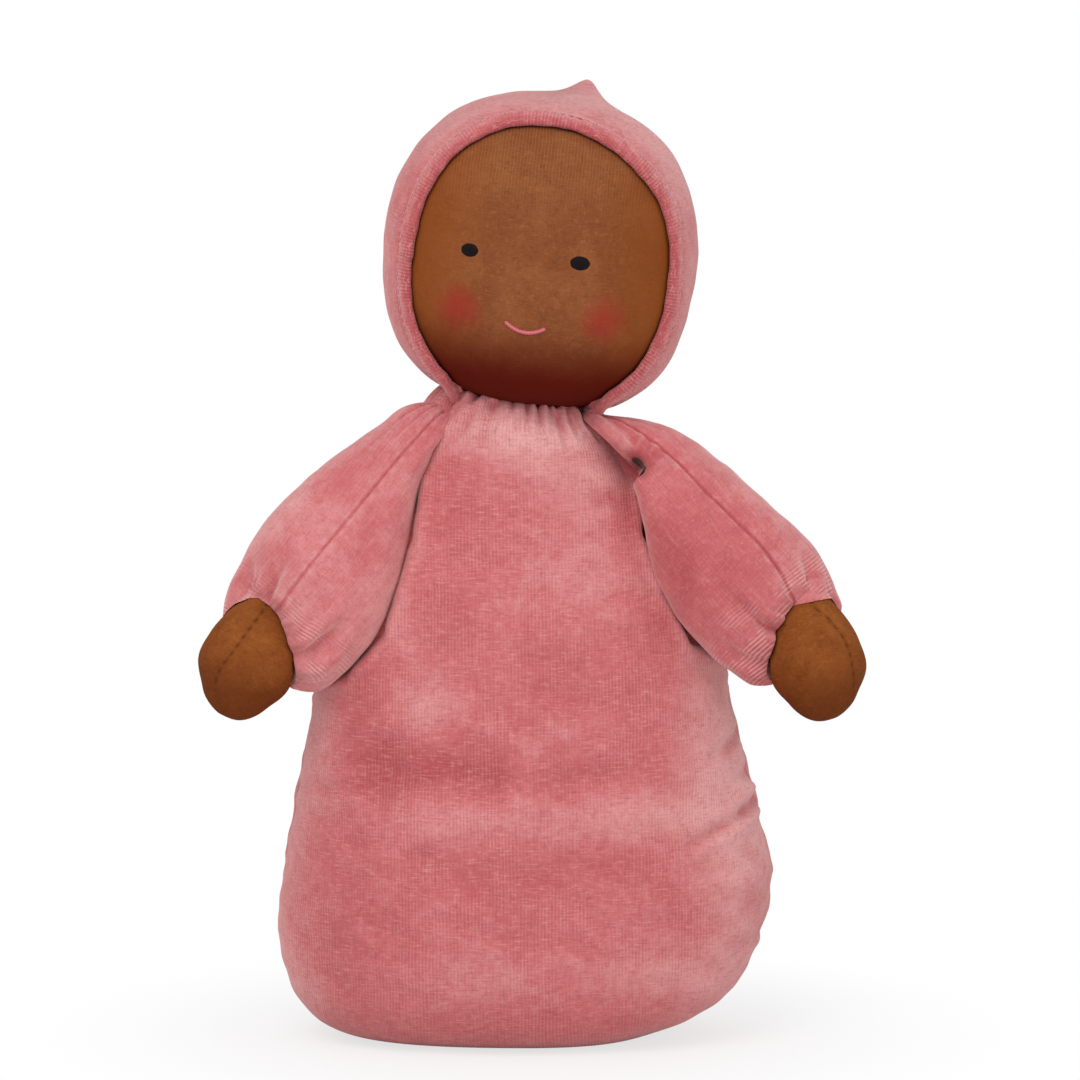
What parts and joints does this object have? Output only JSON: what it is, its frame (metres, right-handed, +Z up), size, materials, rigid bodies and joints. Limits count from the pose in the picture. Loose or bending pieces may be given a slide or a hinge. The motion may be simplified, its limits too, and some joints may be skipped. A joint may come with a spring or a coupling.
{
  "type": "soft rag doll",
  "caption": "Soft waldorf doll: velour sack body, puffed sleeves, jersey hands and head in a velour pixie hood; arms lift and swing, head nods, tilts and turns.",
  "frame": {"origin": "centre of the flat spot under the body, on the surface that the doll sits on", "axes": "+Z up, -Y the way the doll faces, its right arm on the -X side"},
  "size_m": [0.2062, 0.0985, 0.2965],
  "materials": {
    "velour": "matte",
    "jersey": "matte",
    "wool": "matte",
    "gauze": "matte",
    "white_thread": "matte",
    "pink_thread": "matte",
    "dark_thread": "satin"
  },
  "bodies": {
    "torso": {"body_front": "velour", "body_back": "velour", "body_stuffing": "wool", "neck_gathering_thread": "white_thread"},
    "neck_lower": {"neck_tie_lower": "white_thread"},
    "neck_upper": {"neck_tie_upper": "white_thread"},
    "head": {"head_core": "wool", "head_gauze": "gauze", "eye_line_thread": "white_thread", "core_neck_thread": "white_thread", "head_skin": "jersey", "eye_right": "dark_thread", "eye_left": "dark_thread", "mouth_thread": "pink_thread", "hood": "velour", "hood_binding": "velour"},
    "right_shoulder": {"shoulder_tie_right": "pink_thread"},
    "right_arm": {"sleeve_right": "velour", "arm_stuffing_right": "wool", "hand_skin_right": "jersey", "hand_stuffing_right": "wool", "wrist_thread_right": "white_thread"},
    "left_shoulder": {"shoulder_tie_left": "pink_thread"},
    "left_arm": {"sleeve_left": "velour", "arm_stuffing_left": "wool", "hand_skin_left": "jersey", "hand_stuffing_left": "wool", "wrist_thread_left": "white_thread"}
  },
  "joints": [
    {"name": "head_nod", "type": "hinge", "parent": "torso", "child": "neck_lower", "pos_m": [-0.0018, 0, 0.188], "axis": [1, 0, 0], "range_deg": [-6, 6], "stiffness_Nm_per_rad": 0.6},
    {"name": "head_tilt", "type": "hinge", "parent": "neck_lower", "child": "neck_upper", "pos_m": [-0.0018, 0, 0.188], "axis": [0, 1, 0], "range_deg": [-10, 2], "stiffness_Nm_per_rad": 0.6},
    {"name": "head_turn", "type": "hinge", "parent": "neck_upper", "child": "head", "pos_m": [-0.0018, 0, 0.188], "axis": [0.1132, 0, 0.9936], "range_deg": [-30, 30], "stiffness_Nm_per_rad": 0.05},
    {"name": "right_arm_lift", "type": "hinge", "parent": "torso", "child": "right_shoulder", "pos_m": [-0.0322, -0.01, 0.1845], "axis": [0, 1, 0], "range_deg": [0, 50]},
    {"name": "right_arm_swing", "type": "hinge", "parent": "right_shoulder", "child": "right_arm", "pos_m": [-0.0322, -0.01, 0.1845], "axis": [-0.7771, 0, 0.6293], "range_deg": [0, 28]},
    {"name": "left_arm_lift", "type": "hinge", "parent": "torso", "child": "left_shoulder", "pos_m": [0.0286, -0.01, 0.1845], "axis": [0, -1, 0], "range_deg": [0, 50]},
    {"name": "left_arm_swing", "type": "hinge", "parent": "left_shoulder", "child": "left_arm", "pos_m": [0.0286, -0.01, 0.1845], "axis": [-0.7373, 0, -0.6756], "range_deg": [0, 28]}
  ]
}
